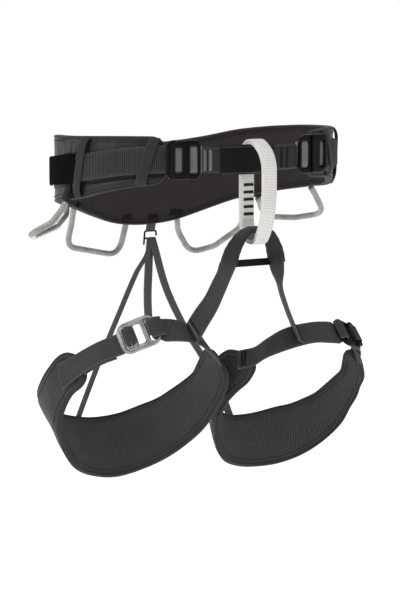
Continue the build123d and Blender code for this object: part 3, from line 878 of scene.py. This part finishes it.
# ---- waist buckles --------------------------------------------------------------------------------
# Each buckle: angle round the belt, side, width, and degrees that it is turned to the front.
WAIST_BUCKLES = (("right", -28.2, -1, 33.0, 0.0), ("left", 28.0, 1, 39.0, 8.0))
for side, angle, sign, wide, turn in WAIST_BUCKLES:
    x, y = oval(angle, tail_at + WEB_T / 2 + 2.0)
    out = np.array(Matrix.Rotation(math.radians(-sign * turn), 3, "Z") @ Vector(out_at(angle)))
    across = np.cross((0, 0, 1), out) * sign
    centre = np.array([x, y, 7.0])
    rim = wide / 2
    windows = [rounded(9.3, 27, 1.8, (7.6 - rim, 0)), rounded(7.4, 26, 1.6, (rim - 11.6, 0))]
    body = plate(f"waist_buckle_body_{side}", centre + out * 1.8, across, out, rounded(wide, 37.5, 7),
                 windows, 3.8, 1.6, "black_buckle_metal", bend=0.004)
    put(body, "root", f"waist_buckle_frame_{side}")
    slider = plate(f"waist_buckle_gate_{side}", centre + out * 5.2 + across * 3, across, out,
                   rounded(17.5, 36.5, 6), [rounded(7.0, 26, 1.8, (rim - 14.6, 0))], 3.0, 1.35,
                   "black_buckle_metal", bend=0.004)
    put(slider, f"waist_slider_{side}", f"waist_buckle_slider_{side}")
    # The webbing turning over the buckle bars takes the paler copy: painted highlight on these folds.
    folds = {"wrap": (WEB_PAINTED_HIGHLIGHT, ((-1.5, -2.2), (2.0, -1.9), (3.6, 0.4), (6.0, 1.9), (9.5, 2.0), (11.6, 0.8),
                                 (11.9, -1.4))),
             "bar": (WEB_PAINTED_HIGHLIGHT, ((rim * 2 - 17.0, 0.6), (rim * 2 - 15.0, 2.6), (rim * 2 - 11.5, 3.2),
                                (rim * 2 - 8.0, 2.6), (rim * 2 - 6.4, 0.2)))}
    for label, (cloth, points) in folds.items():
        path = [[*(centre + across * (a - rim) + out * o), 0, 0, 12.4] for a, o in points]
        put(ribbon(f"waist_buckle_{label}_{side}", path, 1.8, "black_webbing", step=RIB_STEP, columns=7,
                   material=cloth, shape=ribs(1.4, 0.12)), "root")

# ---- belay loop -----------------------------------------------------------------------------------
low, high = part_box("belay_loop")
front, rear, top, bottom = low.y / MM, high.y / MM, high.z / MM, low.z / MM
LOOP_W = (high.x - low.x) / MM
PATH = [(rear, -45), (rear, -20), (rear, 4), (rear - 2.5, 15), (rear - 10, 22.5), (-121, top - 0.3),
        (-132, top - 4.5), (-141, 13), (front + 1.0, 3), (front, -12), (front + 0.4, -30), (front + 3.5, -48),
        (front + 9.5, -63), (-128, bottom + 1.5), (-116, bottom + 0.5), (rear - 7, bottom + 5),
        (rear - 1.5, bottom + 14)]
for label, depth in (("outer", 1.25), ("inner", 3.75)):
    rows, _, _ = smooth([(0, y, z) for y, z in PATH], 1.0, closed=True)
    t = unit(np.roll(rows, -1, 0) - np.roll(rows, 1, 0))
    inward = np.cross(t, (1, 0, 0))
    middle = np.array([0, (front + rear) / 2, (top + bottom) / 2])
    inward *= np.sign(np.sum((middle - rows) * inward, 1))[:, None]
    rows = rows + inward * depth
    band = ribbon(f"belay_loop_{label}", np.hstack([rows,
            np.tile([LOOP_W / 2 - 0.15 * depth, 0, 0], (len(rows), 1))]),
                  2.4, "white_webbing", columns=9, square=5, closed=True, ready=True)
    put(band, "belay_loop", *(["belay_loop"] if label == "outer" else []))
overlap = [(0, rear - 5.4, z) for z in (-4, -16, -30, -44, -54)]
lap = ribbon("belay_loop_overlap", [[*p, 6.2, 0, 0] for p in overlap], 1.2, "white_webbing", step=1.0,
             columns=7)
put(lap, "belay_loop")
TACK_TOP, TACK_STEP = -20, 7
for i in range(5):
    tack_z = TACK_TOP - TACK_STEP * i
    bar = tack(f"belay_loop_bar_tack_{i + 1}", (0, rear - 6.1, tack_z), (1, 0, 0), (0, 0, 1), (0, -1, 0), 10,
               3.2, "black_thread", count=22, radius=0.42)
    put(bar, "belay_loop", *(["belay_loop_bar_tacks"] if i == 0 else []))
    bar = tack(f"belay_loop_bar_tack_back_{i + 1}", (0, rear + 0.15, tack_z), (1, 0, 0), (0, 0, 1), (0, 1, 0),
               10.5, 2.2, "black_thread", count=24)
    put(bar, "belay_loop")

# ---- leg bridge -----------------------------------------------------------------------------------
BRIDGE = [(-31, -122, -93, 3, -11, 0), (-24, -122, -76, 2, -11, 0), (-13, -122, -64, 0, -10.5, 0),
          (0, -122, -61, 0, -10.5, 0), (12, -122, -64, 0, -10.5, 0), (18, -122, -76, 3, -10.5, 0),
          (22, -122, -93, 4, -10, 0)]


def tube_edges(s, u, face, total):
    return face * (-0.7 * np.clip((np.abs(u) - 0.8) / 0.12, 0, 1) + 0.15 * np.sin(s * 0.8 + u * 3))


put(ribbon("leg_bridge_cover", BRIDGE, 4.6, "binding_tape", step=1.2, columns=15, square=4,
           material=SMOOTH_WEB, shape=tube_edges), "root", "leg_bridge_sleeve")
put(ribbon("leg_cross_elastic", [(x, -115, -94, 0, 0, 3.5) for x in np.linspace(-24, 21, 7)], 1.6,
           "elastic_webbing", step=1.0, columns=7, material=FINISH["abrasion_sleeve"], shape=ribs(2.0, 0.1)),
    "root", "leg_cross_strap")

# ---- rear risers ----------------------------------------------------------------------------------
low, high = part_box("riser_hanger")
hang_x, hang_y = (low.x + high.x) / 2 / MM, (low.y + high.y) / 2 / MM
put(ribbon("riser_hanger_tab", [(hang_x, hang_y - 1.0, -72, 5.5, 0, 0), (hang_x, hang_y, -78, 5.5, 0, 0),
                                (hang_x, hang_y + 1.4, -84, 5.5, 0, 0),
                                (hang_x, hang_y + 2.6, -88.6, 5.5, 0, 0)],
           2.0, "elastic_webbing", step=1.0), "root", "riser_hanger")
RISERS = {
    "right": [(11.6, 119.4, -95.4, 2.8, 0, 0), (9.8, 117, -106, 3.2, 0, 0), (-10, 106, -128, 3.4, 0, 0),
              (-42, 84, -166, 3.4, 0, 0), (-76, 63, -211, 3.4, 0, 0), (-110, 43, -262, 3.4, 0, 0)],
    "left": [(15.5, 119.4, -95.4, 3.6, 0, 0), (17.5, 117, -108, 4.2, 0, 0), (24, 107, -146, 4.5, 0, 0),
             (37, 92, -186, 4.5, 0, 0), (54, 72, -226, 4.5, 0, 0), (65.5, 47, -273, 4.5, 0, 0),
             (67, 42.5, -284, 4.5, 0, 0)],
}
for side, rows in RISERS.items():
    strap = ribbon(f"riser_band_{side}", rows, 1.5, "elastic_webbing", step=2.0, columns=7)
    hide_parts(f"riser_strap_{side}")
    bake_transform(strap)
put(ribbon("riser_tail_band", [(13.5, 121.2, -95.2, 4, 0, 0), (10, 118, -125, 4.8, 0, 0),
                               (5, 111, -160, 4.8, 0, 0), (4, 104, -196, 4.8, 0, 0)], 2.2, "elastic_webbing",
           step=2.0, columns=7), "root",
    "riser_tail")

# ---- leg loops ------------------------------------------------------------------------------------
PADS = {
    "right": [(-154, -55, -186, 3, -8, -8), (-161, -48, -195, 5, -12, -12), (-168, -38, -207, 6, -11, -11),
              (-171, -27, -222, 6, -11, -11), (-169, -14, -241, 4, -12, -14), (-159, -4, -255, 2, -12, -14),
              (-146, 6, -267, -2, -13, -16), (-127, 17, -280, -6, -16, -21), (-100, 27, -289, -9, -18, -24),
              (-72, 28, -290, -11, -20, -26), (-51, 20, -283, -8, -20, -26), (-33, 8, -273, -6, -19, -25),
              (-21, -6, -260, -2, -18, -23), (-12, -22, -245, 0, -16, -21), (-9, -36, -231, 3, -14, -17),
              (-9, -48, -218, 6, -13, -14), (-11, -60, -202, 7, -11, -10), (-19, -70, -188, 3, -6, -6)],
    "left": [(160, -40, -205, 5, -4, -2), (167, -32, -219, 7, -6, -3), (171, -24, -232, 9, -7, -3),
             (170, -15, -241, 11, -8, -3), (168, -7, -251, 13, -10, -4), (164, 2, -262, 14, -11, -6),
             (157, 11, -274, 15, -13, -11), (145, 19, -285, 13, -14, -16), (126, 25, -294, 8, -16, -21),
             (103, 29, -300, 3, -16, -23), (81, 29, -301, -1, -15, -23), (59, 24, -298, -3, -15, -22),
             (40, 15, -290, -4, -14, -21), (26, 5, -278, -3, -12, -17), (17, -4, -264, 1, -10, -15),
             (11, -15, -249, 3, -9, -13), (9, -28, -233, 6, -9, -11), (11, -40, -221, 7, -10, -11),
             (15, -52, -208, 10, -11, -11), (20, -66, -193, 9, -8, -6)],
}
STRAPS = {
    "right": [(-171.7, -43.5, -202, 0.5, -5, -12), (-160.6, -61.7, -187.7, 1.7, -7, -8),
              (-147, -77.3, -175.3, 1, -7, -8),
              (-130, -91, -166, 1, -6.3, -9), (-115, -99, -158, 1, -6.6, -9.4), (-99, -106, -154, 1, -7, -10),
              (-83, -110, -154, 1, -7, -10), (-66, -110, -158, 1, -8, -9), (-50, -104, -167, 2, -8, -9),
              (-36, -94, -178, 3, -9, -8), (-24, -81, -190, 4, -9, -8)],
    "left": [(169, -30, -217.5, 5, -6, -4), (166, -39, -210.5, 3, -6, -7), (160, -50, -203, 0.5, -6, -9),
             (150, -62, -191, 2, -8, -9), (130, -76, -181, 1, -8, -9),
             (116, -84, -176, 1, -7, -10), (95, -93, -172, 1, -7, -10), (76, -100, -170, 0, -8, -9),
             (58, -103, -171, 0, -8, -9), (42, -101, -175, -2, -8, -9), (29, -92, -183, -4, -8, -8),
             (20, -79, -193, -5, -8, -8), (14, -75.5, -194.5, -5, -8, -8), (8, -72, -196, -5, -8, -8)],
}
BRIDGES = {
    "right": [(-29, -122, -88, 3, -10.2, 0), (-32, -122, -94, 3, -10.5, -1), (-36, -122, -103, 1, -11, -3),
              (-41, -120, -115, 1, -11, -4), (-48, -118, -130, 1, -10, -6), (-57, -114.8, -144.5, 2, -9, -7),
              (-62, -114.2, -152, 2, -8.5, -8), (-66.5, -113.8, -159, 1.5, -8, -9)],
    "left": [(20.5, -122, -86, 4, -9.5, 0), (21.5, -122, -93, 3, -10, 0), (23, -122, -103, 1, -11, 0),
             (26, -120, -114, -3, -11, -1), (34, -116, -133, -2, -10, -4), (44, -110.5, -150, 0, -9, -7),
             (50.5, -107.2, -161, 0, -9, -7), (54.5, -105.6, -167.5, 0, -8.5, -8),
             (59, -105, -169.3, 0, -8, -8.8)],
}
PAD_T, PAD_ROUND = 7.6, 9
BUCKLE_STATION = 4  # the row of a leg strap that carries its buckle


def pad_relief(s, u, face, total):
    """Crowned face, soft waves, and tight puckers near the inner end."""
    crown = 0.9 * (1 - np.abs(u) ** 2.5)
    waves = 0.35 * np.sin(s * 0.045 + 2.2 * u) + 0.22 * np.sin(s * 0.16 - 3 * u)
    pucker = 0.6 * np.sin(s * 0.85 + 1.5 * u) * bump_at(s, total - 42, 12)
    pucker = pucker * np.clip(1 - np.abs(u), 0, 1) ** 0.5
    return face * (crown + (waves + pucker) * (1 - np.abs(u) ** 6))


def web(name, rows, thick, step, lift=0.0):
    """Plain leg webbing."""
    return ribbon(name, rows, thick, "black_webbing", step=step, columns=9, square=6, lift=lift)


for side, flip in (("right", 1), ("left", -1)):
    leg = f"leg_loop_{side}"
    pad = PADS[side]
    inner = ribbon(f"leg_pad_cushion_{side}", pad, PAD_T - 2.6, "mesh_lining", step=2.2, columns=25,
                   square=3.2, flip=flip, lift=-0.8, shape=pad_relief, round_ends=PAD_ROUND)
    swell(inner, 25, 0.9, 4.0, 2.2)
    put(inner, leg, f"leg_pad_lining_{side}", f"leg_pad_foam_{side}")
    outer = ribbon(f"leg_pad_cover_{side}", pad, PAD_T - 4.6, "shell_fabric", step=2.2, columns=25,
                   square=3.4, flip=flip, lift=2.0, shape=pad_relief, round_ends=PAD_ROUND)
    put(outer, leg, f"leg_pad_shell_{side}")

    pts, s, total = smooth(pad, 2.2)
    c, h, t, n = frames(pts)
    n = n * flip
    h = round_off(h, s, total, PAD_ROUND)
    upper, lower = c + h + unit(h) * 0.3, c - h - unit(h) * 0.3
    edge = np.vstack([upper, lower[::-1]])
    edge_out = np.vstack([n, n[::-1]])
    put(ribbon(f"leg_pad_binding_tape_{side}", np.hstack([edge, edge_out * 2.9]), 2.6, "binding_tape",
               step=2.4, columns=9, square=2.6, closed=True), leg, f"leg_pad_binding_{side}")
    for label, share in (("upper", 1), ("lower", -1)):
        for face, reach in (("out", 4.0), ("in", -4.0)):
            line = c + h * share - unit(h) * share * 4.2 + n * reach
            put(seam(f"leg_pad_stitching_{label}_{face}_{side}", line[4:-4], n[4:-4] * np.sign(reach)), leg)

    strap = STRAPS[side]
    metal = "light_buckle_metal" if side == "right" else "black_buckle_metal"
    pts, _, _ = smooth(strap, 1.5)
    c, h, t, n = frames(pts)
    centre = np.array(strap[BUCKLE_STATION][:3], float)
    nearest = int(np.argmin(np.linalg.norm(c - centre, axis=1)))
    half = h[nearest]
    out = frontward(n[nearest])
    ahead = unit(np.cross(half, out))
    ahead = ahead if ahead @ t[nearest] > 0 else -ahead
    place = (c - centre) @ ahead
    slim = half * 0.87
    hip_part = list(pts[place < -20]) + [[*(centre + ahead * a + out * o), *slim]
                                         for a, o in ((-13.6, 0.2), (-12.4, 1.6), (-11.4, 3.4), (-10.0, 4.6))]
    front_part = [[*(centre + ahead * a + out * o), *slim]
                  for a, o in ((24.5, 2.4), (22.5, 3.4), (20.0, 5.6), (17.0, 6.4), (14.0, 6.0), (12.3, 4.0),
                               (12.4, 1.6), (14.5, 0.2))] + list(pts[place > 22])
    put(web(f"leg_strap_band_{side}", hip_part, 2.4, step=1.0), leg,
        f"leg_strap_{side}")
    put(web(f"leg_strap_inner_band_{side}", front_part, 2.2, step=0.8), leg)
    body = plate(f"leg_buckle_body_{side}", centre + out * 3.7, ahead, out, rounded(40, 31.5, 9.5),
                 [rounded(5.2, 22, 1.8, (-12.0, 0)), rounded(8.5, 20, 2.4, (0, 0)),
                  rounded(5.2, 22, 1.8, (12.0, 0))],
                 4.4, 2.0, metal, bend=0.006)
    put(body, leg, f"leg_buckle_frame_{side}")
    gate = plate(f"leg_buckle_gate_{side}", centre + out * 7.2 - ahead * 9, ahead, out, rounded(13, 28.5, 5),
                 [rounded(4.6, 19, 1.8)], 2.8, 1.35, metal, bend=0.01)
    put(gate, f"leg_slider_{side}", f"leg_buckle_slider_{side}")
    over = [[*(centre + out * (7.2 + o) + ahead * (a - 9)), *(half * 0.76)]
            for a, o in ((-5.4, -0.2), (-5.0, 1.3), (-3.0, 2.3), (0, 2.5), (3.0, 2.3), (5.0, 1.3),
                         (5.4, -0.2))]
    put(web(f"leg_buckle_wrap_{side}", over, 1.5, step=0.6), f"leg_slider_{side}")
    tail = np.array(strap[1:4] if side == "right" else strap[2:4], float)
    tail[:, :3] += tail[:, 3:] * 0.14
    if side == "right":
        tail[-1] = tail[-1] * 0.6 + tail[-2] * 0.4
    put(web(f"leg_strap_tail_band_{side}", tail, 1.6, step=2.0,
               lift=2.1 * (1 if side == "right" else -1)), leg, f"leg_strap_tail_{side}")
    for k, (spot, lean) in enumerate(((-8, 0), (-4, 0)) if side == "left" else ((-6, 0), (-2.5, 0)), 1):
        row = int(np.argmin(np.abs((len(pts) - 1) + spot / 1.5 - np.arange(len(pts)))))
        face = frontward(n[row])
        put(tack(f"leg_strap_end_tack_{side}_{k}", c[row] + face * 1.5, h[row], t[row], face, 19, 2.2,
                 "black_thread"),
            leg)
    bridge = web(f"bridge_band_{side}", BRIDGES[side], 2.6, step=1.5)
    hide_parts(f"bridge_webbing_{side}")
    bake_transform(bridge)
    pts, _, _ = smooth(BRIDGES[side], 1.5)
    c, h, t, n = frames(pts)
    for k, (spot, slot) in enumerate(((2, "black_thread"), (4, "elastic_webbing"), (6, "black_thread")), 1):
        face = frontward(n[-spot])
        put(tack(f"bridge_tack_{side}_{k}", c[-spot] + face * 1.5, h[-spot], t[-spot], face, 18, 1.8, slot),
            leg)

# ---- gear loops -----------------------------------------------------------------------------------
GEAR_R, TAB_GROW = 3.1, BELT_T + 5.1
GEAR_ROUTES = {
    "front_right": ((-84, -38), [(-153, -14, -44), (-166, -18, -56), (-189, -18, -66), (-172, 12, -73),
                                 (-122, 62, -70), (-100, 86, -62)], (-139, -52)),
    "rear_right": ((-145, -56), [(-85, 106, -75), (-88, 111, -98), (-21, 126, -113)], (-174, -78)),
    "rear_left": ((164, -68), [(48, 124, -91), (62, 124, -115), (86, 114, -108), (112, 100, -87)],
                  (136, -57)),
    "front_left": ((100, -40), [(156, 25, -50), (172, 34, -70), (156, 66, -77), (133, 90, -77)], (129, -55)),
}


def rounded_path(points, radius, step=1.2):
    """Straight runs joined by soft bends, as evenly spaced points."""
    p = np.array(points, float)
    parts = [p[:1]]
    for a, b, d in zip(p[:-2], p[1:-1], p[2:]):
        before, after = np.linalg.norm(b - a), np.linalg.norm(d - b)
        turn = math.acos(np.clip((b - a) @ (d - b) / before / after, -1, 1))
        reach = min(radius * math.tan(turn / 2), 0.48 * before, 0.48 * after)
        first, last = b - (b - a) / before * reach, b + (d - b) / after * reach
        k = np.linspace(0, 1, 14)[:, None]
        parts.append((1 - k) ** 2 * first + 2 * k * (1 - k) * b + k**2 * last)
    line = np.vstack([*parts, p[-1:]])
    along = distances(line)
    s = np.linspace(0, along[-1], round(along[-1] / step))
    return np.column_stack([np.interp(s, along, line[:, k]) for k in range(3)]), s


def hose(name, points, radius, slot, bend=16.0, sides=18):
    """Round tube along a bent path, with a slight ripple in its thickness along its length."""
    path, s = rounded_path(points, bend)
    t = unit(np.gradient(path, axis=0))
    side = [unit(np.cross(t[0], (0.3, 0.2, 1.0)))]
    for k in range(1, len(path)):
        side.append(unit(side[-1] - t[k] * (side[-1] @ t[k])))
    side = np.array(side)
    up = np.cross(t, side)
    around = np.linspace(0, 2 * math.pi, sides, endpoint=False)
    size = radius * (1 + 0.012 * np.sin(s * 0.35))
    size[[0, -1]] *= 0.8
    ring = side[:, None] * np.cos(around)[None, :, None] + up[:, None] * np.sin(around)[None, :, None]
    grid = path[:, None] + ring * size[:, None, None]
    ends = np.r_[s, s[-1]]
    return skin(name, grid, slot, (np.repeat(around[None] * radius * MM, len(s), 0), ends * MM),
                (np.repeat(around[None] / 6.3, len(s), 0), ends / s[-1]))


def tab_taper(s, u, face, total):
    """A sewn tab, flat where it is stitched down and full round the hose."""
    return face * (-2.0 * (1 - np.clip(s / total * 1.6, 0, 1))) + 0 * u


TAB_PROFILE = ((1.6, 17), (2.6, 12), (4.0, 7), (4.9, 1.0))  # off the belt, and above the hose's end
number = 0
for label, (first, corners, last) in GEAR_ROUTES.items():
    ends = [np.array([*oval(angle, TAB_GROW), z]) for angle, z in (first, last)]
    put(hose(f"gear_hose_{label}", [ends[0], *corners, ends[1]], GEAR_R, "gear_loop_plastic"),
        f"gear_loop_{label}", f"gear_loop_{label}")
    for angle, z in (first, last):
        number += 1
        tangent = along_at(angle)
        path = [[*oval(angle, BELT_T + off), z + dz, *(tangent * 4.3)] for off, dz in TAB_PROFILE]
        put(ribbon(f"gear_tab_{number}", path, 6.4, "socket_rubber", step=1.0, columns=13, square=3.0,
                   shape=tab_taper),
            "root", *(["gear_loop_sockets"] if number == 1 else []))
        out = out_at(angle)
        put(tack(f"gear_tab_tack_{number}", np.array([*oval(angle, BELT_T + 3.2), z + 14.5]), tangent,
                 (0, 0, 1), out, 7.5, 1.8, "black_thread"), "root")
# Short dark tabs that hang below the belt's lining.
LINING_TABS = ((-171, 11), (165, 14), (-139.5, 6), (176, 11))  # angle and width
for number, (angle, width) in enumerate(LINING_TABS, 1):
    x, y = oval(angle, -1.0)
    low = line_height(BELT_LOW, np.array([y]))[0]
    tangent = along_at(angle)
    path = [[x, y, low + dz, *(tangent * width / 2)] for dz in (4.0, 1.0, -2.0)]
    put(ribbon(f"lining_tab_{number}", path, 1.6, "socket_rubber", step=1.0, columns=9, square=4,
               material=FINISH["abrasion_sleeve"]), "root")

low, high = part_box("riser_hook")
HOOK_R = 0.9
left, right, mid_y = low.x / MM + HOOK_R, high.x / MM - HOOK_R, (low.y + high.y) / 2 / MM
top, bottom = high.z / MM - HOOK_R, low.z / MM + HOOK_R
wire = [(right + 0.4, mid_y, top - 5.5), (right + 0.2, mid_y, top - 0.6), (right - 1.5, mid_y, top),
        (left + 0.6, mid_y, top), (left, mid_y, top - 1.0), (left - 0.4, mid_y + 1.4, bottom - 7.0)]
put(hose("riser_hook_wire", wire, 1.0, "black_buckle_metal", bend=3.0, sides=10), "riser_hook", "riser_hook")
put(hose("riser_hook_bar", [(left, mid_y, bottom), (right - 0.5, mid_y, bottom)], 1.0, "black_buckle_metal",
         sides=10),
    "riser_hook")

# ---- floor ----------------------------------------------------------------------------------------
floor_mesh = bpy.data.meshes.new("floor")
FLOOR_Z = CAD_BOX[0][2] - 0.16
floor_mesh.from_pydata([(x, y, FLOOR_Z) for x, y in ((-6, -6), (6, -6), (6, 6), (-6, 6))], [], [(0, 1, 2, 3)])
floor = bpy.data.objects.new("floor", floor_mesh)
floor_material, _, floor_shader = base("floor", 0.9)
floor_shader.inputs["Base Color"].default_value = (0.5, 0.5, 0.5, 1)
floor_shader.inputs["Emission Color"].default_value = (1, 1, 1, 1)
floor_shader.inputs["Emission Strength"].default_value = 0.84
floor_mesh.materials.append(floor_material)
bpy.context.scene.collection.objects.link(floor)
